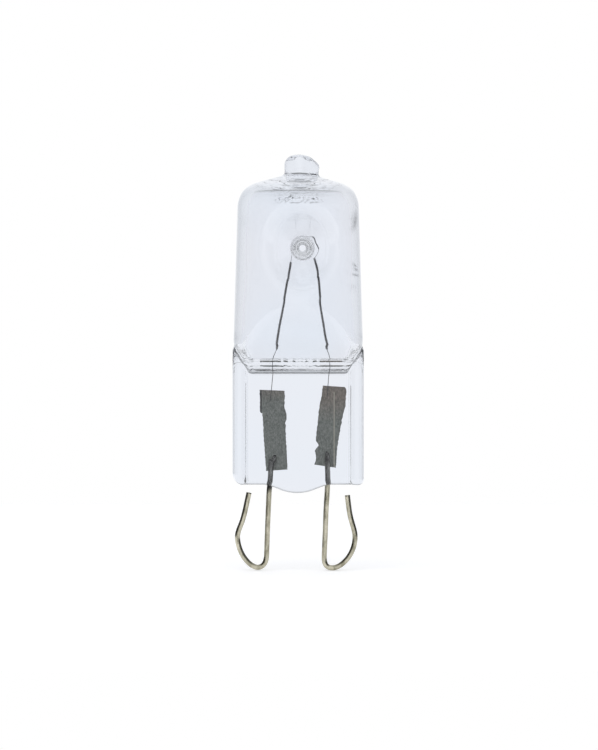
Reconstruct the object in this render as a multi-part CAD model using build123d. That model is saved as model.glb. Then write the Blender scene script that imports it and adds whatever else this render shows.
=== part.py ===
from build123d import *
import math
import os

# Oven light bulb: a clear quartz capsule with a two-pin push-in base.
# All sizes are in millimetres. Z runs up the capsule's axis and X across its flat pinch.
# The origin is the middle of the pinch's foot, where the pins leave the glass.

# Capsule: a tube that tapers slightly towards a rounded crown
capsule_height = 33.9
tube_diameter = 13.3
tube_taper = 0.85
crown_drop = 5.5
crown_corner = 3.1
crown_turn = 67
tube_wall = 1.25
ceiling_drop = 3.6

# Pinch: the flattened foot of the tube, a thin web with a thicker rail along each side
pinch_width = 13.45
pinch_height = 11.5
web_thickness = 2.4
rail_width = 1.45
rail_thickness = 3.4
rail_rise = 0.95
rail_edge = 0.5
left_corner = 1.15
right_corner = 0.5
drip_width = 5.45
drip_depth = 0.88
drip_offset = -0.1

# Shoulder: how the tube closes onto the pinch, steeply at its ends and by two broad slopes.
# The slopes take up a share of the height between the pinch and the stud.
shoulder_rise = 2.7
shoulder_run = 1.5
shoulder_bend = 2.0
shoulder_crease = 0.6
slope_share = 0.4
floor_thickness = 1.0
floor_slot = 0.3

# Exhaust tip: the sealed stub that the capsule was filled through, with a lump of spare glass
tip_offset = 0.1
tip_diameter = 3.15
tip_dome = 1.95
tip_bore = 2.45
tip_skin = 1.9
lump_diameter = 1.9
lump_offset = 1.15
lump_drop = 0.75

# Dimples: two funnels pressed in from front and back, which meet in a stud
stud_offset = 0.45
stud_drop = 9.65
stud_diameter = 2.1
stud_membrane = 0.5
dimple_angle = 34.5
dimple_tip = 1.0
dimple_neck = 0.95
dimple_wall = 0.6
dimple_lip = 0.6

# Pins: spring loops of round wire, each rooted in the pinch
pin_diameter = 0.54
pin_spacing = 5.92
pin_root = 2.6
pin_lean = 2.35
loop_drop = 8.6
loop_width = 3.0
free_end_drop = 0.95

# Foils: thin strips in the web, which carry the current through the seal
foil_thickness = 0.04
foil_head_width = 2.5
foil_foot_width = 2.2
foil_foot = 1.5
foil_cover = 1.75
foil_head_spacing = 6.38
foil_head_offset = 0.53
foil_foot_spacing = 4.95
foil_foot_offset = 0.28
right_foil_lift = 0.4
weld_flat = 0.05

# Filament: one tungsten wire, coiled along both legs and bare over the stud
coil_diameter = 0.28
wire_diameter = 0.09
wire_flat = 0.012
wire_overlap = 1.1
coil_foot_spacing = 5.2
coil_foot_gap = 2.67
coil_head_spacing = 2.56
coil_head_drop = 1.34
coil_head_skew = 0.43
lead_spacing = 5.85
lead_slant = 0.24
bridge_kinks = 6
filament_offset = 0.4

# Sizes that follow from the ones above
tube_radius = tube_diameter / 2
crown_radius = tube_radius - tube_taper / 2
shoulder_top = pinch_height + shoulder_rise
crown_foot = capsule_height - crown_drop
cavity_floor = pinch_height + floor_thickness
cavity_ceiling = capsule_height - ceiling_drop
bore_radius = tube_radius - tube_wall
stud_height = capsule_height - stud_drop
slope_top = pinch_height + slope_share * (stud_height - pinch_height)
half_web = web_thickness / 2
pin_radius = pin_diameter / 2
wire_radius = wire_diameter / 2
foil_face = pin_radius - weld_flat
filament_plane = foil_face - wire_radius + wire_flat
foil_head = pinch_height - foil_cover
upright = (Align.CENTER, Align.CENTER, Align.MIN)


def shoulder_block(half_foot, foot, half_top, shoulder):
    """The room between the two sloping shoulders, as seen from the side, along the whole width."""
    low = foot - shoulder_rise
    high = capsule_height + shoulder_rise
    slope = FilletPolyline(
        (half_foot, low),
        (half_foot, foot),
        (half_top, shoulder),
        (half_top, high),
        radius=[shoulder_crease, shoulder_bend],
    )
    outline = Curve() + [
        slope,
        Line(slope @ 1, (0, high)),
        Line((0, high), (0, low)),
        Line((0, low), slope @ 0),
    ]
    block = extrude(Plane.YZ * make_face(outline), tube_diameter, both=True)
    return block + mirror(block, Plane.XZ)


def outer_tube():
    """The outside of the tube: flat foot, chamfered ends of the pinch, tapered side and round crown."""
    side = Line((tube_radius, shoulder_top), (crown_radius, crown_foot))
    corner = JernArc(side @ 1, side % 1, crown_corner, crown_turn)
    slope = corner % 1
    edge = corner @ 1
    apex = edge.Y - edge.X * slope.Y / slope.X
    outline = Curve() + [
        Polyline((0, pinch_height), (tube_radius - shoulder_run, pinch_height), side @ 0),
        side,
        corner,
        Polyline(edge, (0, apex), (0, pinch_height)),
    ]
    turned = revolve(Plane.XZ * make_face(outline), Axis.Z)
    return turned & shoulder_block(half_web, pinch_height, tube_radius, slope_top)


def cavity():
    """The gas space inside the tube, which closes to a narrow trough at its floor."""
    outline = Polyline(
        (0, cavity_floor),
        (bore_radius - shoulder_run + floor_slot, cavity_floor),
        (bore_radius, shoulder_top),
        (bore_radius, cavity_ceiling - 0.6 * crown_corner),
        (bore_radius - 0.5 * crown_corner, cavity_ceiling),
        (0, cavity_ceiling),
        close=True,
    )
    turned = revolve(Plane.XZ * make_face(outline), Axis.Z)
    slot_top = slope_top + floor_thickness / 2
    return turned & shoulder_block(floor_slot, cavity_floor, bore_radius, slot_top)


def rail(side, corner):
    """One side rail, arched at its top, with its foot corner rounded. Side is -1 or 1."""
    outer = pinch_width / 2
    inner = outer - rail_width
    top = pinch_height + rail_rise
    arch_foot = top - rail_width / 2
    outline = Curve() + [
        Line((inner, 0), (outer - corner, 0)),
        JernArc((outer - corner, 0), (1, 0), corner, 90),
        Line((outer, corner), (outer, arch_foot)),
        ThreePointArc((outer, arch_foot), (outer - rail_width / 2, top), (inner, arch_foot)),
        Line((inner, arch_foot), (inner, 0)),
    ]
    front_view = extrude(Plane.XZ * make_face(outline), rail_thickness, both=True)
    bar = extrude(RectangleRounded(rail_width, rail_thickness, rail_edge), top)
    bar = front_view & (Pos(outer - rail_width / 2, 0, 0) * bar)
    if side < 0:
        bar = mirror(bar, Plane.YZ)
    return bar


def web():
    """The thin middle of the pinch, with the drip of glass that hangs from its foot."""
    plate = Box(pinch_width, web_thickness, shoulder_top, align=upright)
    foot_corners = plate.edges().filter_by(Axis.Y).group_by(Axis.Z)[0].sort_by(Axis.X)
    plate = fillet(foot_corners[0], left_corner)
    foot_corners = plate.edges().filter_by(Axis.Y).group_by(Axis.Z)[0].sort_by(Axis.X)
    plate = fillet(foot_corners[-1], right_corner)
    left = (drip_offset - drip_width / 2, 0)
    right = (drip_offset + drip_width / 2, 0)
    drip = Curve() + [Line(left, right), ThreePointArc(left, (drip_offset, -drip_depth), right)]
    return plate + extrude(Plane.XZ * make_face(drip), half_web, both=True)


def exhaust_tip():
    """The melted-off stub on the crown, with a lower lump of spare glass at its right."""
    foot = crown_foot + crown_corner
    stub = Cylinder(tip_diameter / 2, capsule_height - foot, align=upright)
    dome = Pos(0, 0, capsule_height - foot - tip_dome) * Sphere(tip_dome)
    lump_radius = lump_diameter / 2
    lump_centre = capsule_height - foot - lump_drop - lump_radius
    lump = Cylinder(lump_radius, lump_centre, align=upright)
    lump = lump + Pos(0, 0, lump_centre) * Sphere(lump_radius)
    tip = Pos(tip_offset, 0, 0) * (stub & dome) + Pos(lump_offset, 0, 0) * lump
    return Pos(0, 0, foot) * tip


def tip_channel():
    """The narrow blind bore that runs from the gas space up into the exhaust tip."""
    foot = cavity_ceiling - tip_bore / 2
    depth = capsule_height - tip_skin - foot
    return Pos(tip_offset, 0, foot) * Cylinder(tip_bore / 2, depth, align=upright)


def funnel(throat_radius, throat, start):
    """A cone on the stud's axis that opens towards +Y, from a short round throat."""
    reach = tube_diameter
    mouth = throat_radius + (reach - throat) * math.tan(math.radians(dimple_angle))
    outline = Polyline(
        (0, start),
        (throat_radius, start),
        (throat_radius, throat),
        (mouth, reach),
        (0, reach),
        close=True,
    )
    return Pos(stud_offset, 0, stud_height) * revolve(make_face(outline), Axis.Y)


def dimple_glass():
    """The glass of both dimples and of the stud between them, longer than the tube is wide."""
    step = dimple_wall / math.cos(math.radians(dimple_angle)) - (stud_diameter - dimple_tip) / 2
    throat = dimple_neck - step / math.tan(math.radians(dimple_angle))
    back = funnel(stud_diameter / 2, throat, 0)
    return back + mirror(back, Plane.XZ)


def dimple_hollow():
    """The open air inside both dimples."""
    back = funnel(dimple_tip / 2, dimple_neck, stud_membrane / 2)
    return back + mirror(back, Plane.XZ)


def dimpled_tube():
    """The outside of the tube with both dimples pressed in and their lips softened."""
    tube = outer_tube() - dimple_hollow()
    boxes = [(edge, edge.bounding_box()) for edge in tube.edges()]
    level = [(edge, box) for edge, box in boxes if abs(box.center().Z - stud_height) < dimple_wall]
    lips = [edge for edge, box in level if box.size.X > stud_diameter]
    return chamfer(lips, dimple_lip)


def quartz_envelope(inner_parts):
    """The whole glass body, with a tight seat for each part that is sealed into it."""
    gas_space = cavity() + tip_channel() - dimple_glass()
    glass = dimpled_tube() + web() + rail(-1, left_corner) + rail(1, right_corner) + exhaust_tip()
    glass = glass - gas_space
    for part in inner_parts:
        glass = glass - part
    return glass


def foil(side):
    """One strip of foil, narrower at its foot, behind its pin and its filament end. Side is -1 or 1."""
    lift = right_foil_lift * (1 + side) / 2
    head = foil_head_offset + side * foil_head_spacing / 2
    foot = foil_foot_offset + side * foil_foot_spacing / 2
    outline = Polyline(
        (foot - foil_foot_width / 2, foil_foot + lift),
        (foot + foil_foot_width / 2, foil_foot + lift),
        (head + foil_head_width / 2, foil_head + lift),
        (head - foil_head_width / 2, foil_head + lift),
        close=True,
    )
    strip = Plane.XZ.offset(-foil_face) * make_face(outline)
    return extrude(strip, -foil_thickness)


def pin_path():
    """Centre line of the right pin: the root, the straight leg and the loop back up outside it."""
    return FilletPolyline(
        (0, pin_root),
        (0, -1.07 * loop_drop),
        (0.85 * loop_width, -0.9 * loop_drop),
        (1.03 * loop_width, -0.62 * loop_drop),
        (0.7 * loop_width, -free_end_drop),
        radius=[0.3 * loop_width, 0.65 * loop_width, 0.5 * loop_width],
    )


def pin(side):
    """One pin: round wire, cut flat where it is welded to its foil. Side is -1 or 1."""
    path = Plane.XZ * pin_path()
    wire = sweep(Plane(path @ 0, z_dir=path % 0) * Circle(pin_radius), path)
    flat = Box(pin_diameter, pin_diameter, pin_root - foil_foot + pin_diameter)
    flat = Pos(0, foil_face + pin_radius, (pin_root + foil_foot) / 2) * flat
    wire = wire - flat
    if side < 0:
        wire = mirror(wire, Plane.YZ)
    return Pos(side * pin_spacing / 2, 0, 0) * Rot(0, pin_lean, 0) * wire


def thin_bar(path, diameter):
    """A straight or kinked bar, too thin for more than eight sides, along a path in the front view."""
    placed = Plane.XZ.offset(-filament_plane) * path
    section = Plane(placed @ 0, z_dir=placed % 0) * RegularPolygon(diameter / 2, 8)
    return sweep(section, placed, transition=Transition.RIGHT)


def coil_head(side):
    """Where the coil of one leg ends below the stud. Side is -1 or 1."""
    height = stud_height - coil_head_drop + side * coil_head_skew / 2
    return Vector(filament_offset + side * coil_head_spacing / 2, height)


def coil_foot(side):
    """Where the coil of one leg ends above the cavity's floor. Side is -1 or 1."""
    return Vector(filament_offset + side * coil_foot_spacing / 2, pinch_height + coil_foot_gap)


def filament_leg(side):
    """One leg: the coil as a solid bar, and its bare end down to the foil. Side is -1 or 1."""
    head = coil_head(side)
    foot = coil_foot(side)
    lift = right_foil_lift * (1 + side) / 2
    lead = filament_offset + side * lead_spacing / 2
    bend = Vector(lead, (foot.Y + cavity_floor) / 2)
    weld = Vector(lead - lead_slant, foil_head + lift - wire_overlap)
    tail = Polyline(foot + (head - foot) * 0.02, bend, weld)
    return thin_bar(Line(foot, head), coil_diameter) + thin_bar(tail, wire_diameter)


def filament():
    """The whole wire. Both ends are cut flat where they are welded to the foils."""
    stud = Vector(stud_offset, stud_height)
    reach = (stud_diameter / 2 + wire_radius) / math.cos(math.radians(90 / bridge_kinks))
    turns = [180 - 180 * (k + 0.5) / bridge_kinks for k in range(bridge_kinks)]
    kinks = [stud + Vector(reach, 0).rotate(Axis.Z, turn) for turn in turns]
    bridge = Polyline(coil_head(-1), *kinks, coil_head(1))
    wire = filament_leg(-1) + filament_leg(1) + thin_bar(bridge, wire_diameter)
    flat = Box(tube_diameter, wire_diameter, wire_overlap + right_foil_lift + wire_diameter)
    middle = foil_head + (right_foil_lift - wire_overlap) / 2
    return wire - Pos(0, foil_face + wire_radius, middle) * flat


parts = {
    "tungsten_filament": filament(),
    "left_foil": foil(-1),
    "right_foil": foil(1),
    "left_pin": pin(-1),
    "right_pin": pin(1),
}
parts["quartz_envelope"] = quartz_envelope(list(parts.values()))

os.makedirs("parts", exist_ok=True)
for name, solid in parts.items():
    solid.label = name
    export_step(solid, f"parts/{name}.step")
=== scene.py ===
import math
import bpy
import numpy as np
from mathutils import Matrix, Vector


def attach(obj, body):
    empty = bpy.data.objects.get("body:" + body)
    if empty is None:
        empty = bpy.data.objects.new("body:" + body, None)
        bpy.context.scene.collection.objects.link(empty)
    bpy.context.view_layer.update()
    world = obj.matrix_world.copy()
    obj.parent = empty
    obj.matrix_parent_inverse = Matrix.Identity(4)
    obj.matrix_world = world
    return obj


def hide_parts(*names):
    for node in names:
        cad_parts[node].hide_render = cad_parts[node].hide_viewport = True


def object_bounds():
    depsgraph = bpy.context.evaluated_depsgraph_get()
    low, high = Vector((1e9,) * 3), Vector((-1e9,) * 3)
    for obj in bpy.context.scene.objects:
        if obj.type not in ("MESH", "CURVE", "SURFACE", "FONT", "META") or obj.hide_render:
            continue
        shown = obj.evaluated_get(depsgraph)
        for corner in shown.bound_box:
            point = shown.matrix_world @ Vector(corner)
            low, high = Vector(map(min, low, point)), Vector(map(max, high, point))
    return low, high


# Looks of the oven light bulb: clear quartz capsule, foils, coiled filament and wire loop pins.
# Sizes are in millimetres in the shared frame, and become metres when a mesh is made.
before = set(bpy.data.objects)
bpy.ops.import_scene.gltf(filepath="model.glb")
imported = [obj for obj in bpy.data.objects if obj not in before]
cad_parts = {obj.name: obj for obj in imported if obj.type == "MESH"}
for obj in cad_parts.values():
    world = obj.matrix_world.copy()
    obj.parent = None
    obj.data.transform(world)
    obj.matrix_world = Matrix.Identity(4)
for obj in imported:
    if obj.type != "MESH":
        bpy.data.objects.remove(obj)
cad_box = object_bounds()

metres = 0.001
seed = 11

# Keep divisions clear of zero
tiny = 0.01
least_slope = 1e-6

# Photograph: where a pixel lies in the plane of the pinch, and what the frame holds
pixel_size = 0.1025
axis_column = 298.2
foot_row = 484.5
picture_centre = (299, 375)
picture_height = 750

# Glass: tube and crown
shoulder_top = 14.2
tube_radius = 6.65
crown_radius = 6.225
crown_foot = 28.4
crown_corner = 3.1
crown_turn = 67
crown_cap = 32.25
cap_slope = 0.14
cap_edge = 1.5
glass_top = 33.9

# Glass: walls of the gas space, its ceiling and its trough
tube_wall = 0.75
front_wall = 0.6
foot_wall = 0.42
dimple_wall = 0.3
thick_from = 3.0
thick_to = 8.0
end_wall = 0.6
end_corner = 0.3
cavity_ceiling = 30.35
ceiling_corner = 0.6
cavity_floor = 12.8
floor_bend = 0.4
crease_depth = 0.16
crease_half_width = 0.22
ripple_depth = 0.03
ripple_pitch = 0.84
ripple_reach = 2.3
bore_edge = 0.1

# Glass: squiggles on the inside of the wall, high on the back
mark_depth = 0.7
mark_height = 29.5
mark_half_height = 0.5
mark_half_width = 2.5
squiggles_across = 6.3
squiggles_across_bend = 2.2
squiggles_across_turn = 5.1
squiggles_up = 9
squiggles_up_bend = 2.6
squiggles_up_turn = 2.9
squiggles_up_start = 1

# Glass: pinch and shoulder
half_width = 6.72
half_web = 1.2
web_edge = 0.7
web_top_edge = 0.5
pinch_height = 11.5
pinch_hollow = 0.3
end_run = 1.5
cone_edge = 0.35
slope_top = 16.6
slope_bend = 6.5
slope_edge = 0.5
left_corner = 1.15
right_corner = 0.5
drip_centre = -0.1
drip_half_width = 2.725
drip_depth = 0.86
drip_hollow = 0.5
rail_centre = 6.0
rail_half_width = 0.725
rail_half_depth = 1.7
rail_edge = 0.65
rail_foot_edge = 0.5
rail_hollow = 0.15
rail_top = 12.45

# Glass: exhaust tip. Each dent wave is a number of radians in a millimetre and a start.
tip_x = 0.1
tip_radius = 1.575
tip_dome = 1.95
tip_edge = 0.25
tip_hollow = 0.35
tip_bore = 1.2
tip_bore_top = 32.0
tip_bore_overlap = 1
tip_bore_edge = 0.25
lump_x = 1.15
lump_radius = 1.05
lump_top = 33.4
lump_hollow = 0.25
dent_depth = 0.07
dent_waves = ((3.1, 1.0), (2.7, 4.0), (3.7, 0.0))

# Glass: dimples and stud
stud_x = 0.45
stud_z = 24.25
stud_radius = 1.05
stud_corner = 0.4
stud_membrane = 0.25
membrane_edge = 0.2
dimple_slope = math.radians(34.5)
dimple_neck = 0.95
dimple_throat = 0.5
throat_lip = 0.3
dimple_lip = 2.2
dimple_side_lip = 0.9
inner_lip_excess = 0.3
largest_cosine = 0.9
ring_depth = 0.1
ring_pitch = 0.34
ring_middle = 0.8
ring_half_width = 0.25

# Mesh of the glass
mesh_step = 0.175
margin_steps = 3
gradient_nudge = 0.01
newton_steps = 3
least_steepness = 0.25

# Filament: each leg from its foot up, in millimetres, and the bow beside the stud, in pixels.
# A coil widens from the end share to its full radius, over the end run of its pitch.
coil_radius = 0.1
coil_wire = 0.038
coil_pitch = 0.1
coil_points = 10
coil_sides = 5
coil_end_run = 0.5
coil_end_share = 0.2
bare_wire = 0.034
bare_sides = 8
bridge_wire = 0.022
bridge_turns = (170, 130, 90)
bow_wire = 0.06
bow_left = 1.5
bow_foot = 24.15
bow_pixels = [(313.5, 236), (317, 242.5), (320, 249.5), (317.5, 256)]
wire_plane = 0.187
leg_spacing = 0.2
end_spacing = 0.15
bridge_spacing = 0.1
left_leg = [(-2.23, 14.17), (-1.98, 15.84), (-1.39, 19.34), (-0.95, 21.9), (-0.84, 22.7)]
right_leg = [(2.97, 14.17), (2.66, 15.84), (2.4, 18.0), (2.23, 19.6), (2.07, 21.7), (1.74, 23.13)]
left_end_pixel = (270.3, 401)
left_end = [(-2.6, 11.4), (-2.6, 13.0)]
right_end_pixel = (327.1, 396.4)
right_end = [(3.13, 11.2), (3.25, 13.0)]

# Pins: pixels of each loop's middle, from its root in the seal down, round and up to its cut end
pin_radius = 0.27
pin_sides = 24
pin_spacing = 0.12
left_pin_pixels = [
    (271.3, 459.5), (270.3, 478), (269.6, 486), (269.0, 494), (268.2, 512), (267.4, 532), (266.8, 548),
    (266.3, 558), (264.6, 563.5), (261.6, 566.6), (257.8, 567.6), (253.8, 566.6), (248.9, 563.4),
    (243.7, 557.2), (240.1, 550.2), (238.1, 543.4), (237.4, 537), (238.2, 532), (239.9, 527.2),
    (242.1, 521.5), (243.8, 515.8), (245.7, 508), (247.4, 500), (249.0, 492.7),
]
right_pin_pixels = [
    (327.2, 459.5), (327.8, 478), (327.5, 486), (327.1, 494), (326.0, 512), (325.3, 532), (324.5, 550),
    (324.3, 559.5), (325.4, 564.4), (328.0, 567.2), (331.9, 568.1), (336, 567.6), (340.8, 565.2),
    (346, 560.6), (350.3, 554.8), (353.2, 548.4), (354.7, 542.4), (355.1, 536.2), (354.2, 530.6),
    (352.7, 525), (350.8, 518.4), (349.3, 510.6), (348.3, 503), (347.4, 495.3),
]
left_burnt_heights = (-0.9, -0.3)
right_burnt_heights = (-0.2, 0.2)

# Welds of the pins to their foils, in pixels
weld_radius = 0.24
weld_sides = 12
weld_spacing = 0.06
weld_end = 0.95
left_weld_pixels = [(275.4, 455), (273.4, 460), (271.2, 466)]
right_weld_pixels = [(326.6, 451.5), (327.4, 456), (327.2, 462)]

# Foils: pixels of each strip's left edge and right edge, from its foot up.
# A wrinkle wave is a height, and its turn in a millimetre across and up.
foil_plane = 0.225
foil_thickness = 0.03
foil_rows = 60
foil_columns = 16
foil_raggedness = 0.02
crease_relief = 0.02
crease_width = 0.12
wrinkle_waves = ((0.008, 0.9, 1.7), (0.006, 2.9, -1.3))
left_foil_edges = [
    [(266.1, 471), (264.5, 449), (263.4, 428), (262.3, 413.2), (260.2, 412.8), (259.6, 389.7)],
    [(287.6, 469.5), (286, 440), (285.4, 422), (286.7, 418), (286.4, 413), (284.5, 408), (284.7, 390.7)],
]
right_foil_edges = [
    [
        (314.3, 464.6), (316.2, 458), (314.9, 450), (318.8, 445.3), (315.8, 440.5), (317.5, 425),
        (318.7, 411), (321.5, 396), (322.8, 385.5),
    ],
    [(336, 467.7), (337.2, 447), (339.8, 432), (342.7, 415.6), (345.5, 406), (346.3, 388.5), (344.8, 387)],
]
left_crease = -3.75
right_crease = 3.65
left_brown_heights = (8.4, 10.2)
right_brown_heights = (6.4, 9.0)

# Fold lines painted on the foils, as painted shade on the left one and a painted highlight on the right
# one: middle x, half width, middle height and half height
left_painted_fold_shade = (-3.86, 0.12, 8.5, 1.15)
# Painted shade: near black along the left foil's fold
left_painted_fold_shade_colour = (0.03, 0.03, 0.03)
right_painted_fold_highlight = (3.68, 0.045, 5.6, 3.9)
# Painted highlight: a light line along the right foil's fold
right_painted_fold_highlight_colour = (0.42, 0.40, 0.33)

# Room: the tint of the backdrop where it is seen through the glass
white = (1, 1, 1)
room_tint = (0.84, 0.87, 0.92)
floor_reach = 120
floor_lift = 0.2
light_strength = 0.75
lamp_size = 600
lamp_aim = (0, 0, 12)
key_position, key_power = (-260, -330, 330), 1.2
fill_position, fill_power = (300, -260, 200), 0.6
most_bounces = 32

# Camera. What it sees from and to is in metres.
camera_distance = 600
camera_elevation = math.radians(2)
sensor_width = 36
nearest_seen = 0.01
farthest_seen = 10

# Places of the sockets on a colour mix node: first colour, second colour and result
mix_first, mix_second, mix_result = 6, 7, 2


def place(column, row):
    """The x and z of a pixel of the photograph, in the plane of the pinch."""
    return (column - axis_column) * pixel_size, (foot_row - row) * pixel_size


def joined(a, b, blend):
    """The union of two fields, with a hollow blend between them."""
    hollow = np.hypot(np.maximum(blend - a, 0), np.maximum(blend - b, 0))
    return np.maximum(blend, np.minimum(a, b)) - hollow


def common(a, b, edge):
    """The intersection of two fields, with a rounded edge."""
    round_edge = np.hypot(np.maximum(edge + a, 0), np.maximum(edge + b, 0))
    return np.minimum(-edge, np.maximum(a, b)) + round_edge


def filleted(a, b, cosine, radius):
    """The intersection of two fields with a true fillet, from the cosine between their slopes."""
    u, v = a + radius, b + radius
    arc = np.sqrt(np.maximum(u**2 + v**2 - 2 * u * v * cosine, 0) / (1 - cosine**2))
    in_arc = (u > cosine * v) & (v > cosine * u)
    return np.where(in_arc, arc, np.maximum(u, v)) - radius


def below(across, up, start, end):
    """How far a point lies below the slanted line from start to end."""
    run, rise = end[0] - start[0], end[1] - start[1]
    return ((across - start[0]) * rise - (up - start[1]) * run) / math.hypot(run, rise)


def smooth_share(value, start, end):
    """From 0 to 1 between two values, without a corner at either."""
    share = np.clip((value - start) / (end - start), 0, 1)
    return share**2 * (3 - 2 * share)


def crowned_tube(x, y, z):
    """The tapered side, the round corner of the crown, its shallow cone and its flatter top."""
    taper = math.atan2(tube_radius - crown_radius, crown_foot - shoulder_top)
    turned = taper + math.radians(crown_turn)
    across = np.hypot(x, y) - crown_radius + crown_corner * math.cos(taper)
    up = z - crown_foot + crown_corner * math.sin(taper)
    side = across * math.cos(taper) + up * math.sin(taper)
    top = across * math.cos(turned) + up * math.sin(turned)
    above_side = up * math.cos(taper) > across * math.sin(taper)
    below_top = up * math.cos(turned) < across * math.sin(turned)
    straight = np.maximum(side, top)
    rounded = np.where(above_side & below_top, np.hypot(across, up), straight) - crown_corner
    cap = (z - crown_cap + cap_slope * np.hypot(x, y)) / math.hypot(1, cap_slope)
    return common(rounded, cap, cap_edge)


def open_dimple(x, y, z):
    """The open air in both dimples: a cone with fine rings near the stud, a throat and its end."""
    throat = np.hypot(x - stud_x, z - stud_z) - dimple_throat
    depth = np.abs(y) - dimple_neck
    cone = throat * math.cos(dimple_slope) - depth * math.sin(dimple_slope)
    off_stud = throat + dimple_throat
    band = np.exp(-(((off_stud - ring_middle) / ring_half_width) ** 4))
    rings = ring_depth * np.sin(2 * math.pi * off_stud / ring_pitch) * band
    air = joined(cone + rings, throat, throat_lip)
    return common(air, stud_membrane - np.abs(y), membrane_edge)


def dimpled_tube(x, y, z, lip_excess):
    """The tube without its foot, with both dimples pressed in and a fillet as their lip."""
    radius = np.maximum(np.hypot(x, y), tiny)
    off_stud = np.maximum(np.hypot(x - stud_x, z - stud_z), tiny)
    outward = math.cos(dimple_slope) * (x - stud_x) / off_stud * x / radius
    cosine = math.sin(dimple_slope) * np.abs(y) / radius - outward
    cosine = np.clip(cosine, -largest_cosine, largest_cosine)
    lip = dimple_side_lip + (dimple_lip - dimple_side_lip) * (np.abs(y) / radius) ** 4
    return filleted(crowned_tube(x, y, z), -open_dimple(x, y, z), cosine, lip + lip_excess)


def shell(x, y, z, lip_excess=0):
    """The dimpled tube with two broad slopes at its foot, which bend into it at front and back."""
    run, rise = tube_radius - half_web, slope_top - pinch_height
    slopes = below(np.abs(y), z, (half_web, pinch_height), (tube_radius, slope_top))
    facing = np.abs(y) / np.maximum(np.hypot(x, y), tiny)
    bend = slope_edge + (slope_bend - slope_edge) * facing**3
    cosine = facing * rise / math.hypot(run, rise)
    return filleted(dimpled_tube(x, y, z, lip_excess), slopes, cosine, bend)


def foot_cone(x, y, z):
    """The cone that closes the tube at both ends of the pinch."""
    return below(np.hypot(x, y), z, (tube_radius - end_run, pinch_height), (tube_radius, shoulder_top))


def tube_body(x, y, z):
    """The tube, closed at its foot by the broad slopes and by the cone."""
    return common(shell(x, y, z), foot_cone(x, y, z), cone_edge)


def pinch_outline(x, z):
    """The pinch as seen from the front: two foot corners and the drip between the pins."""
    corner = np.where(x < 0, left_corner, right_corner)
    block = common(np.abs(x) - half_width, -z, corner)
    drip_radius = (drip_half_width**2 + drip_depth**2) / (2 * drip_depth)
    drip = np.hypot(x - drip_centre, z + drip_depth - drip_radius) - drip_radius
    return joined(block, drip, drip_hollow)


def web(x, y, z, outline):
    """The thin middle of the pinch."""
    plate = common(outline, np.abs(y) - half_web, web_edge)
    return common(plate, z - shoulder_top, web_top_edge)


def rails(x, y, z, outline):
    """The two thicker side rails with arched tops."""
    rise = np.maximum(z - rail_top + rail_half_width, 0)
    across = np.hypot(np.abs(x) - rail_centre, rise)
    section_x = np.maximum(across - rail_half_width + rail_edge, 0)
    section_y = np.maximum(np.abs(y) - rail_half_depth + rail_edge, 0)
    return common(np.hypot(section_x, section_y) - rail_edge, outline, rail_foot_edge)


def flame_dents(x, y, z):
    """The soft relief of glass melted by a flame, from -1 to 1."""
    waves = [np.sin(turn * value + start) for value, (turn, start) in zip((x, y, z), dent_waves)]
    return waves[0] * waves[1] * waves[2]


def exhaust_tip(x, y, z):
    """The melted-off stub and the lump of spare glass at its right."""
    dome = np.sqrt((x - tip_x) ** 2 + y**2 + (z - glass_top + tip_dome) ** 2) - tip_dome
    stub = common(np.hypot(x - tip_x, y) - tip_radius, dome, tip_edge)
    lump_rise = np.maximum(z - lump_top + lump_radius, 0)
    lump = np.sqrt((x - lump_x) ** 2 + y**2 + lump_rise**2) - lump_radius
    melted = joined(stub, lump, lump_hollow)
    return np.maximum(melted + dent_depth + dent_depth * flame_dents(x, y, z), crown_foot - z)


def squiggles(x, z):
    """An irregular pattern from -1 to 1: waves across and waves upwards, both bent by other waves."""
    across_bend = np.sin(squiggles_across_turn * z)
    across = squiggles_across * x + squiggles_across_bend * across_bend
    up_bend = np.sin(squiggles_up_turn * x + squiggles_up_start)
    up = squiggles_up * z + squiggles_up_bend * up_bend
    return np.sin(across) * np.sin(up)


def wall(x, y, z):
    """Thickness of the tube's wall: thin round the stud and near the pinch, marked high on the back."""
    off_stud = np.hypot(x - stud_x, z - stud_z)
    near_stud = 1 - smooth_share(off_stud, thick_from, thick_to)
    near_foot = 1 - smooth_share(z, cavity_floor, slope_top)
    plain = tube_wall + (front_wall - tube_wall) * y**2 / np.maximum(x**2 + y**2, tiny)
    marks = mark_depth * (1 + squiggles(x, z)) * (y > 0)
    marks = marks * np.exp(-((x / mark_half_width) ** 4) - ((z - mark_height) / mark_half_height) ** 4)
    thinned = plain + (dimple_wall - plain) * near_stud
    return thinned + (foot_wall - thinned) * near_foot + marks


def tip_channel(x, y, z):
    """The bore from the gas space up into the exhaust tip, with a round end."""
    rise = np.maximum(z - tip_bore_top + tip_bore, 0)
    channel = np.sqrt((x - tip_x) ** 2 + y**2 + rise**2) - tip_bore
    return np.maximum(channel, cavity_ceiling - tip_bore_overlap - z)


def trough(x, y, z):
    """Above zero under the floor of the gas space, which is rippled and creased along its middle."""
    ripple = ripple_depth * np.sin(2 * math.pi * x / ripple_pitch) * np.exp(-((x / ripple_reach) ** 4))
    crease = (crease_depth + 2 * ripple) * np.exp(-((y / crease_half_width) ** 2))
    return cavity_floor - z + ripple - crease


def gas_space(x, y, z):
    """The hollow of the tube: walls, stud, ceiling, tip channel, steep ends and trough."""
    room = shell(x, y, z, inner_lip_excess) + wall(x, y, z)
    room = common(room, stud_radius - np.hypot(x - stud_x, z - stud_z), stud_corner)
    room = common(room, z - cavity_ceiling, ceiling_corner)
    room = joined(room, tip_channel(x, y, z), tip_bore_edge)
    room = common(room, foot_cone(x, y, z) + end_wall, end_corner)
    return common(room, trough(x, y, z), floor_bend)


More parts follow.
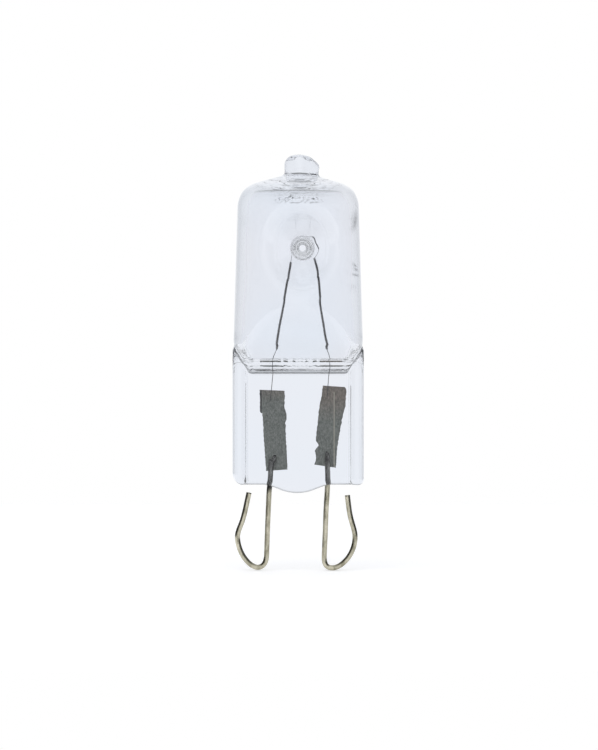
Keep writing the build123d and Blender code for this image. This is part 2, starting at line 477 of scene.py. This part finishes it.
def glass_field(points):
    """Below zero in the glass, and close to the distance from its surface."""
    x, y, z = points[..., 0], points[..., 1], points[..., 2]
    outline = pinch_outline(x, z)
    pinch = joined(web(x, y, z, outline), rails(x, y, z, outline), rail_hollow)
    body = joined(tube_body(x, y, z), exhaust_tip(x, y, z), tip_hollow)
    body = joined(body, pinch, pinch_hollow)
    return common(body, -gas_space(x, y, z), bore_edge)


def gradient(field, points):
    """The slope of a field at each point."""
    slope = np.empty_like(points)
    for axis in range(3):
        nudge = np.zeros(3)
        nudge[axis] = gradient_nudge
        slope[:, axis] = (field(points + nudge) - field(points - nudge)) / (2 * gradient_nudge)
    return slope


def cell_corners(spots, u, v):
    """The four grid cells round each edge that the surface crosses."""
    cells = []
    for du, dv in ((0, 0), (1, 0), (1, 1), (0, 1)):
        cell = spots.copy()
        cell[:, u] -= du
        cell[:, v] -= dv
        cells.append(cell)
    return cells


def edge_crossings(values, axis):
    """Where the surface crosses grid edges along an axis, the cells round them and if it leaves there."""
    first = np.take(values, range(values.shape[axis] - 1), axis)
    second = np.take(values, range(1, values.shape[axis]), axis)
    spots = np.argwhere((first < 0) != (second < 0))
    start, end = first[tuple(spots.T)], second[tuple(spots.T)]
    where = spots.astype(float)
    where[:, axis] += start / (start - end)
    return where, cell_corners(spots, (axis + 1) % 3, (axis + 2) % 3), start < 0


def surface_net(field, low, high, step):
    """Points and four-sided faces of a field's zero surface: one point in each cell that it crosses."""
    axes = [np.arange(a, b + step, step) for a, b in zip(low, high)]
    values = field(np.stack(np.meshgrid(*axes, indexing="ij"), -1))
    total = np.zeros((*values.shape, 3))
    count = np.zeros(values.shape)
    crossings = []
    for axis in range(3):
        where, cells, leaving = edge_crossings(values, axis)
        for cell in cells:
            np.add.at(total, tuple(cell.T), where)
            np.add.at(count, tuple(cell.T), 1)
        crossings.append((cells, leaving))
    used = count > 0
    number = np.cumsum(used).reshape(used.shape) - 1
    points = total[used] / count[used][:, None] * step + np.array(low)
    faces = []
    for cells, leaving in crossings:
        quads = np.stack([number[tuple(cell.T)] for cell in cells], 1)
        quads[~leaving] = quads[~leaving][:, ::-1]
        faces.append(quads)
    return points, np.concatenate(faces).tolist()


def make_mesh(name, points, faces, smooth=True):
    """A mesh object from points in millimetres."""
    mesh = bpy.data.meshes.new(name)
    mesh.from_pydata((np.asarray(points) * metres).tolist(), [], faces)
    mesh.update()
    mesh.polygons.foreach_set("use_smooth", [smooth] * len(mesh.polygons))
    piece = bpy.data.objects.new(name, mesh)
    bpy.context.scene.collection.objects.link(piece)
    return piece


def glass_piece():
    """The whole envelope as one closed mesh, with normals from its field."""
    margin = margin_steps * mesh_step
    low = (-half_width - margin, -tube_radius - margin, -drip_depth - margin)
    high = (half_width + margin, tube_radius + margin, glass_top + margin)
    points, faces = surface_net(glass_field, low, high, mesh_step)
    for _ in range(newton_steps):
        slope = gradient(glass_field, points)
        steep = np.maximum((slope**2).sum(1), least_steepness)
        points = points - slope * (glass_field(points) / steep)[:, None]
    slope = gradient(glass_field, points)
    normals = slope / np.maximum(np.linalg.norm(slope, axis=1), least_slope)[:, None]
    piece = make_mesh("quartz_capsule", points, faces)
    piece.data.normals_split_custom_set_from_vertices(normals.tolist())
    return piece


def smooth_path(points, spacing):
    """A curve through the given points, as closely spaced points."""
    knots = np.array(points, float)
    knots = np.vstack([2 * knots[0] - knots[1], knots, 2 * knots[-1] - knots[-2]])
    path = []
    for a, b, c, d in zip(knots, knots[1:], knots[2:], knots[3:]):
        steps = max(2, int(np.linalg.norm(c - b) / spacing))
        for t in np.arange(steps) / steps:
            square = (2 * a - 5 * b + 4 * c - d) * t**2
            cube = (3 * b - 3 * c + d - a) * t**3
            path.append(0.5 * (2 * b + (c - a) * t + square + cube))
    path.append(knots[-2])
    return np.array(path)


def path_lengths(path):
    """The length of a path from its start to each of its points."""
    return np.concatenate([[0], np.cumsum(np.linalg.norm(np.diff(path, axis=0), axis=1))])


def points_along(path, spots):
    """The points of a path at some lengths from its start."""
    lengths = path_lengths(path)
    return np.stack([np.interp(spots, lengths, values) for values in path.T], 1)


def side_vectors(path):
    """Two vectors across a path at each of its points, without twist. The path doesn't start along y."""
    along = np.gradient(path, axis=0)
    along /= np.linalg.norm(along, axis=1)[:, None]
    first = np.cross(along[0], (0.0, 1.0, 0.0))
    sides = []
    for direction in along:
        first = first - direction * (first @ direction)
        first /= np.linalg.norm(first)
        sides.append(first)
    sides = np.array(sides)
    return sides, np.cross(along, sides)


def tube_round(path, radius, sides):
    """Points, faces and caps of a round tube along a path. The radius may change along it."""
    a, b = side_vectors(path)
    radius = np.broadcast_to(radius, len(path))
    angles = 2 * math.pi * np.arange(sides) / sides
    ring = np.cos(angles)[None, :, None] * a[:, None, :] + np.sin(angles)[None, :, None] * b[:, None, :]
    points = (path[:, None, :] + ring * radius[:, None, None]).reshape(-1, 3)
    faces = []
    for k in range(len(path) - 1):
        for s in range(sides):
            t = (s + 1) % sides
            faces.append((k * sides + s, k * sides + t, (k + 1) * sides + t, (k + 1) * sides + s))
    last = (len(path) - 1) * sides
    caps = [tuple(range(sides))[::-1], tuple(range(last, last + sides))]
    return points, faces, caps


def wire_piece(name, runs):
    """One mesh from several wire runs, each a path, a radius and a number of sides."""
    points, faces, start = [], [], 0
    for path, radius, sides in runs:
        more_points, more_faces, caps = tube_round(path, radius, sides)
        points.append(more_points)
        faces += [tuple(start + i for i in face) for face in more_faces + caps]
        start += len(more_points)
    return make_mesh(name, np.concatenate(points), faces)


def coil(path):
    """The helix of one filament leg round its centre line, drawn in at both ends."""
    length = path_lengths(path)[-1]
    steps = np.linspace(0, length, int(length / coil_pitch * coil_points))
    centre = points_along(path, steps)
    a, b = side_vectors(centre)
    angle = 2 * math.pi * steps / coil_pitch
    from_end = np.minimum(steps, length - steps) / (coil_end_run * coil_pitch)
    grow = np.minimum(1, from_end + coil_end_share)[:, None]
    return centre + coil_radius * grow * (np.cos(angle)[:, None] * a + np.sin(angle)[:, None] * b)


def in_plane(points, depth):
    """Points of the front view, set at one depth."""
    return [(x, depth, z) for x, z in points]


def bridge_line():
    """The bare wire from the left leg over the stud, round its right side and to the right leg."""
    reach = stud_radius + bare_wire
    turns = [math.radians(angle) for angle in bridge_turns]
    over = [(stud_x + reach * math.cos(turn), stud_z + reach * math.sin(turn)) for turn in turns]
    bow = [place(*pixel) for pixel in bow_pixels]
    return [left_leg[-1], *over, *bow, right_leg[-1]]


def filament_piece():
    """One wire: bare end, coiled leg, bare stretch over the stud, coiled leg and bare end."""
    runs = []
    for leg in (left_leg, right_leg):
        path = smooth_path(in_plane(leg, wire_plane), leg_spacing)
        runs.append((coil(path), coil_wire, coil_sides))
    left_bare = [place(*left_end_pixel), *left_end, left_leg[0]]
    right_bare = [place(*right_end_pixel), *right_end, right_leg[0]]
    for bare in (left_bare, right_bare):
        path = smooth_path(in_plane(bare, wire_plane), end_spacing)
        runs.append((path, bare_wire, bare_sides))
    path = smooth_path(in_plane(bridge_line(), wire_plane), bridge_spacing)
    thick = (path[:, 0] > bow_left) & (path[:, 2] > bow_foot)
    runs.append((path, np.where(thick, bow_wire, bridge_wire), bare_sides))
    return wire_piece("filament_wire", runs)


def pixel_path(pixels, spacing):
    """A curve in the middle plane, through pixels of the photograph."""
    return smooth_path(in_plane([place(*pixel) for pixel in pixels], 0), spacing)


def pin_piece(name, pixels, weld_pixels):
    """One wire loop pin and the bead of its weld."""
    loop = pixel_path(pixels, pin_spacing)
    bead = pixel_path(weld_pixels, weld_spacing)
    share = np.linspace(-weld_end, weld_end, len(bead))
    bead_radius = weld_radius * np.sqrt(1 - share**2)
    return wire_piece(name, [(loop, pin_radius, pin_sides), (bead, bead_radius, weld_sides)])


def ragged_line(pixels, noise):
    """One edge of a foil, evenly spaced and a little ragged."""
    edge = np.array([place(*pixel) for pixel in pixels])
    spots = np.linspace(0, 1, foil_rows) * path_lengths(edge)[-1]
    line = points_along(edge, spots)
    line[1:-1, 0] += noise.normal(0, foil_raggedness, foil_rows - 2)
    return line


def foil_piece(name, edges, crease_x):
    """A thin strip between two edges, a little wrinkled, with one crease along it."""
    noise = np.random.default_rng(seed)
    left, right = [ragged_line(pixels, noise) for pixels in edges]
    across = np.linspace(0, 1, foil_columns)[None, :, None]
    flat = left[:, None, :] * (1 - across) + right[:, None, :] * across
    x, z = flat[..., 0], flat[..., 1]
    wrinkle = sum(height * np.sin(across_turn * x + up_turn * z)
                  for height, across_turn, up_turn in wrinkle_waves)
    crease = crease_relief * np.exp(-(((x - crease_x) / crease_width) ** 2))
    depth = foil_plane + wrinkle - crease + foil_thickness / 2
    front = np.stack([x, depth, z], -1).reshape(-1, 3)
    back = front + np.array([0, foil_thickness, 0])
    return sheet_mesh(name, front, back, foil_rows, foil_columns)


def sheet_mesh(name, front, back, rows, columns):
    """A closed thin sheet from a front grid and a back grid."""
    faces = []
    size = rows * columns
    for i in range(rows - 1):
        for j in range(columns - 1):
            a = i * columns + j
            quad = (a, a + 1, a + columns + 1, a + columns)
            faces.append(quad)
            faces.append(tuple(size + k for k in quad[::-1]))
    rim = list(range(columns))
    rim += [i * columns + columns - 1 for i in range(1, rows)]
    rim += [(rows - 1) * columns + j for j in range(columns - 2, -1, -1)]
    rim += [i * columns for i in range(rows - 2, 0, -1)]
    for a, b in zip(rim, rim[1:] + rim[:1]):
        faces.append((b, a, size + a, size + b))
    return make_mesh(name, np.concatenate([front, back]), faces)


def new_material(name):
    """An empty node material and its Principled shader."""
    material = bpy.data.materials.new(name)
    material.use_nodes = True
    return material, material.node_tree.nodes["Principled BSDF"]


def add_node(owner, kind, **settings):
    """A new node of a material or of the world, with some of its settings made."""
    node = owner.node_tree.nodes.new(kind)
    for key, value in settings.items():
        setattr(node, key, value)
    return node


def join_sockets(owner, source, target):
    """Links one socket to another."""
    owner.node_tree.links.new(source, target)


def maths(owner, operation, *values):
    """The result of a maths node. Each value is a number or a socket."""
    node = add_node(owner, "ShaderNodeMath", operation=operation)
    for value, socket in zip(values, node.inputs):
        if isinstance(value, (int, float)):
            socket.default_value = value
        else:
            join_sockets(owner, value, socket)
    return node.outputs[0]


def vector_maths(owner, operation, vector, constant=(0, 0, 0)):
    """A node that works on a vector and a constant one."""
    node = add_node(owner, "ShaderNodeVectorMath", operation=operation)
    node.inputs[1].default_value = constant
    join_sockets(owner, vector, node.inputs[0])
    return node


def mixed_colours(owner, factor, first, second, blend="MIX"):
    """The first colour where the factor is 0 and the second where it is 1. Each is a colour or a socket."""
    mix = add_node(owner, "ShaderNodeMix", data_type="RGBA", blend_type=blend)
    if isinstance(factor, (int, float)):
        mix.inputs[0].default_value = factor
    else:
        join_sockets(owner, factor, mix.inputs[0])
    for colour, socket in ((first, mix.inputs[mix_first]), (second, mix.inputs[mix_second])):
        if isinstance(colour, tuple):
            socket.default_value = (*colour, 1)
        else:
            join_sockets(owner, colour, socket)
    return mix.outputs[mix_result]


def show_shaders(owner, factor, first, second, output):
    """Shows the first shader where the factor is 0 and the second where it is 1."""
    mix = add_node(owner, "ShaderNodeMixShader")
    for source, socket in zip((factor, first.outputs[0], second.outputs[0]), mix.inputs):
        join_sockets(owner, source, socket)
    join_sockets(owner, mix.outputs[0], owner.node_tree.nodes[output].inputs["Surface"])


def position(owner, kind):
    """A point's x, y and z as sockets: in the object's own metres, or generated."""
    coordinates = add_node(owner, "ShaderNodeTexCoord")
    parts = add_node(owner, "ShaderNodeSeparateXYZ")
    join_sockets(owner, coordinates.outputs[kind], parts.inputs["Vector"])
    return parts.outputs


def object_noise(material, scale, detail, stretch=(1, 1, 1)):
    """Noise in the object's own metres, stretched along an axis where asked."""
    coordinates = add_node(material, "ShaderNodeTexCoord")
    mapping = add_node(material, "ShaderNodeMapping")
    mapping.inputs["Scale"].default_value = stretch
    noise = add_node(material, "ShaderNodeTexNoise")
    noise.inputs["Scale"].default_value = scale
    noise.inputs["Detail"].default_value = detail
    join_sockets(material, coordinates.outputs["Object"], mapping.inputs["Vector"])
    join_sockets(material, mapping.outputs["Vector"], noise.inputs["Vector"])
    return noise.outputs["Fac"]


def colour_ramp(owner, factor, stops):
    """Colours along a factor, from stops of position and colour."""
    ramp = add_node(owner, "ShaderNodeValToRGB")
    elements = ramp.color_ramp.elements
    while len(elements) < len(stops):
        elements.new(0.5)
    for element, (spot, colour) in zip(elements, stops):
        element.position = spot
        element.color = (*colour, 1)
    join_sockets(owner, factor, ramp.inputs["Fac"])
    return ramp.outputs["Color"]


def add_bump(material, shader, height, strength, distance):
    """Fine relief from a height."""
    bump = add_node(material, "ShaderNodeBump")
    bump.inputs["Strength"].default_value = strength
    bump.inputs["Distance"].default_value = distance
    join_sockets(material, height, bump.inputs["Height"])
    join_sockets(material, bump.outputs["Normal"], shader.inputs["Normal"])


def mixed_by_height(material, heights, lower, upper):
    """The lower colour up to the first height and the upper one from the second, in millimetres."""
    share = add_node(material, "ShaderNodeMapRange")
    share.inputs["From Min"].default_value = heights[0] * metres
    share.inputs["From Max"].default_value = heights[1] * metres
    join_sockets(material, position(material, "Object")["Z"], share.inputs["Value"])
    return mixed_colours(material, share.outputs["Result"], lower, upper)


def within(material, value, centre, reach):
    """One where a value in metres lies within a reach of a centre, both in millimetres, and else zero."""
    return maths(material, "COMPARE", value, centre * metres, reach * metres)


def grey_ringed_stud(material, tint):
    """The glass tint, greyer in rings round the axis of the stud. Its stops are in millimetres."""
    coordinates = add_node(material, "ShaderNodeTexCoord")
    stud_axis = (stud_x * metres, 0, stud_z * metres)
    offset = vector_maths(material, "SUBTRACT", coordinates.outputs["Object"], stud_axis)
    flat = vector_maths(material, "MULTIPLY", offset.outputs[0], (1 / metres, 0, 1 / metres))
    distance = vector_maths(material, "LENGTH", flat.outputs[0])
    ring_greys = [(0.38, white), (0.46, (0.6, 0.6, 0.59)), (0.62, (0.8, 0.8, 0.79)), (0.85, (0.7, 0.7, 0.69))]
    ring = colour_ramp(material, distance.outputs["Value"], [*ring_greys, (1.0, white)])
    return mixed_colours(material, 1.0, tint, ring, blend="MULTIPLY")


def quartz_material():
    """Clear fused quartz with a faint tint. Lamp rays pass it, so that what lies inside is lit."""
    material, shader = new_material("quartz")
    shader.inputs["Roughness"].default_value = 0.0
    shader.inputs["IOR"].default_value = 1.46
    shader.inputs["Transmission Weight"].default_value = 1.0
    tints = [(0.3, (0.96, 0.975, 0.995)), (0.7, (0.985, 0.975, 0.98))]
    tint = colour_ramp(material, object_noise(material, scale=90, detail=1), tints)
    join_sockets(material, grey_ringed_stud(material, tint), shader.inputs["Base Color"])
    waves = object_noise(material, scale=260, detail=2, stretch=(1, 1, 0.35))
    add_bump(material, shader, waves, strength=0.1, distance=0.0001)
    clear = add_node(material, "ShaderNodeBsdfTransparent")
    clear.inputs["Color"].default_value = (0.93, 0.94, 0.97, 1)
    rays = add_node(material, "ShaderNodeLightPath")
    show_shaders(material, rays.outputs["Is Shadow Ray"], shader, clear, "Material Output")
    return material


def tungsten_material():
    """Dark grey drawn wire."""
    material, shader = new_material("tungsten")
    shader.inputs["Metallic"].default_value = 0.7
    shader.inputs["Roughness"].default_value = 0.45
    greys = [(0.3, (0.05, 0.05, 0.055)), (0.7, (0.14, 0.135, 0.13))]
    colour = colour_ramp(material, object_noise(material, scale=4000, detail=2), greys)
    join_sockets(material, colour, shader.inputs["Base Color"])
    return material


def foil_material(name, brown_heights, painted_fold, painted_fold_colour):
    """Grey-green foil, brownish near its top, with fine rolled streaks and one fold line painted in a flat
    colour: painted shade on the left foil and a painted highlight on the right one.
    """
    material, shader = new_material(name)
    shader.inputs["Metallic"].default_value = 0.35
    shader.inputs["Roughness"].default_value = 0.5
    mottle = object_noise(material, scale=7000, detail=4, stretch=(1, 1, 0.6))
    grey = colour_ramp(material, mottle, [(0.3, (0.095, 0.105, 0.095)), (0.7, (0.24, 0.255, 0.23))])
    brown = colour_ramp(material, mottle, [(0.3, (0.11, 0.095, 0.08)), (0.7, (0.275, 0.24, 0.205))])
    sheet = mixed_by_height(material, brown_heights, grey, brown)
    parts = position(material, "Object")
    # The fold is not modelled: a flat colour in a box is painted along it, painted shade on the left foil
    # and a painted highlight on the right one
    x, reach_x, z, reach_z = painted_fold
    near_x = within(material, parts["X"], x, reach_x)
    near_z = within(material, parts["Z"], z, reach_z)
    on_painted_fold = maths(material, "MULTIPLY", near_x, near_z)
    with_painted_fold = mixed_colours(material, on_painted_fold, sheet, painted_fold_colour)
    join_sockets(material, with_painted_fold, shader.inputs["Base Color"])
    add_bump(material, shader, mottle, strength=0.5, distance=0.00004)
    return material


def pin_material(name, burnt_heights):
    """Plated wire: nickel with a brassy cast, dark where it was heated near the glass."""
    material, shader = new_material(name)
    shader.inputs["Metallic"].default_value = 1.0
    shader.inputs["Roughness"].default_value = 0.22
    mottle = object_noise(material, scale=2600, detail=3, stretch=(1, 1, 0.4))
    plated = colour_ramp(material, mottle, [(0.32, (0.3, 0.285, 0.21)), (0.68, (0.66, 0.625, 0.5))])
    burnt = colour_ramp(material, mottle, [(0.35, (0.03, 0.03, 0.03)), (0.65, (0.2, 0.2, 0.19))])
    colour = mixed_by_height(material, burnt_heights, plated, burnt)
    join_sockets(material, colour, shader.inputs["Base Color"])
    add_bump(material, shader, mottle, strength=0.25, distance=0.00003)
    return material


def dress(piece, node, material):
    """Gives a piece its material, and lets it stand for its CAD node."""
    piece.data.materials.append(material)
    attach(piece, "root")
    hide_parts(node)


def seen_share(owner):
    """One for camera, glossy and transmission rays, and zero for the rest."""
    rays = add_node(owner, "ShaderNodeLightPath").outputs
    direct = maths(owner, "MAXIMUM", rays["Is Camera Ray"], rays["Is Glossy Ray"])
    return maths(owner, "MAXIMUM", direct, rays["Is Transmission Ray"])


def floor_material():
    """Pale grey, lifted towards white where it is seen, and the room's tint through the glass."""
    material, shader = new_material("floor")
    shader.inputs["Base Color"].default_value = (0.9, 0.9, 0.9, 1)
    shader.inputs["Roughness"].default_value = 0.8
    shader.inputs["Emission Color"].default_value = (*white, 1)
    lift = maths(material, "MULTIPLY", seen_share(material), floor_lift)
    join_sockets(material, lift, shader.inputs["Emission Strength"])
    tinted = add_node(material, "ShaderNodeEmission")
    tinted.inputs["Color"].default_value = (*room_tint, 1)
    rays = add_node(material, "ShaderNodeLightPath")
    show_shaders(material, rays.outputs["Is Transmission Ray"], shader, tinted, "Material Output")
    return material


def floor_piece():
    """The plain pale floor under the loops."""
    reach = floor_reach
    low = cad_box[0].z / metres
    corners = [(-reach, -reach, low), (reach, -reach, low), (reach, reach, low), (-reach, reach, low)]
    floor = make_mesh("floor", corners, [(0, 1, 2, 3)], smooth=False)
    floor.data.materials.append(floor_material())


def room_colour(world):
    """White to the camera, dark at the sides for gloss, and dark overhead and below through glass."""
    parts = position(world, "Generated")
    steep = maths(world, "ABSOLUTE", parts["Z"])
    sideways = maths(world, "ABSOLUTE", parts["X"])
    through = colour_ramp(world, steep, [(0.34, room_tint), (0.75, (0.25, 0.26, 0.27))])
    gloss = colour_ramp(world, sideways, [(0.15, (0.97, 0.98, 1.0)), (0.6, (0.04, 0.04, 0.04))])
    rays = add_node(world, "ShaderNodeLightPath").outputs
    room = mixed_colours(world, rays["Is Transmission Ray"], gloss, through)
    return mixed_colours(world, rays["Is Camera Ray"], room, white)


def studio_world():
    """A soft even light, which is replaced by the room's colours where it is seen."""
    world = bpy.data.worlds.new("studio")
    world.use_nodes = True
    bpy.context.scene.world = world
    light = world.node_tree.nodes["Background"]
    light.inputs["Color"].default_value = (0.96, 0.97, 1.0, 1)
    light.inputs["Strength"].default_value = light_strength
    seen = add_node(world, "ShaderNodeBackground")
    seen.inputs["Strength"].default_value = 1.0
    join_sockets(world, room_colour(world), seen.inputs["Color"])
    show_shaders(world, seen_share(world), light, seen, "World Output")


def look_along(direction):
    """The turn of a lamp or camera that looks along a direction."""
    return Vector([float(value) for value in direction]).to_track_quat("-Z", "Y").to_euler()


def soft_box(name, lamp_position, power):
    """A square lamp that looks at the middle of the bulb, and isn't seen in or through the glass."""
    data = bpy.data.lights.new(name, "AREA")
    data.size = lamp_size * metres
    data.energy = power
    lamp = bpy.data.objects.new(name, data)
    lamp.location = [metres * value for value in lamp_position]
    lamp.rotation_euler = look_along(np.array(lamp_aim) - np.array(lamp_position))
    lamp.visible_transmission = False
    lamp.visible_glossy = False
    bpy.context.scene.collection.objects.link(lamp)


def camera():
    """A long lens, slightly above the capsule's middle, framed as in the photograph."""
    x, z = place(*picture_centre)
    back = camera_distance * math.cos(camera_elevation)
    up = camera_distance * math.sin(camera_elevation)
    data = bpy.data.cameras.new("camera")
    data.sensor_width = sensor_width
    data.lens = sensor_width * camera_distance / (picture_height * pixel_size)
    data.clip_start = nearest_seen
    data.clip_end = farthest_seen
    eye = bpy.data.objects.new("camera", data)
    eye.location = (x * metres, -back * metres, (z + up) * metres)
    eye.rotation_euler = look_along((0, math.cos(camera_elevation), -math.sin(camera_elevation)))
    bpy.context.scene.collection.objects.link(eye)
    bpy.context.scene.camera = eye


def light_paths():
    """Enough bounces for light that is led a long way inside the glass."""
    paths = bpy.context.scene.cycles
    paths.max_bounces = most_bounces
    paths.transmission_bounces = most_bounces
    paths.glossy_bounces = most_bounces


def dress_foils():
    """The two strips in the seal. The right one stands a little higher."""
    left_foil = foil_piece("left_foil_strip", left_foil_edges, left_crease)
    left_looks = foil_material("left_foil", left_brown_heights, left_painted_fold_shade, left_painted_fold_shade_colour)
    dress(left_foil, "left_foil", left_looks)
    right_foil = foil_piece("right_foil_strip", right_foil_edges, right_crease)
    right_looks = foil_material("right_foil", right_brown_heights, right_painted_fold_highlight, right_painted_fold_highlight_colour)
    dress(right_foil, "right_foil", right_looks)


def dress_pins():
    """The two loops. The right one bends a little lower and ends a little lower."""
    left_pin = pin_piece("left_pin_wire", left_pin_pixels, left_weld_pixels)
    dress(left_pin, "left_pin", pin_material("left_pin", left_burnt_heights))
    right_pin = pin_piece("right_pin_wire", right_pin_pixels, right_weld_pixels)
    dress(right_pin, "right_pin", pin_material("right_pin", right_burnt_heights))


dress(glass_piece(), "quartz_envelope", quartz_material())
dress(filament_piece(), "tungsten_filament", tungsten_material())
dress_foils()
dress_pins()
floor_piece()
studio_world()
soft_box("key", key_position, key_power)
soft_box("fill", fill_position, fill_power)
camera()
light_paths()
bpy.context.scene.view_settings.view_transform = "Standard"
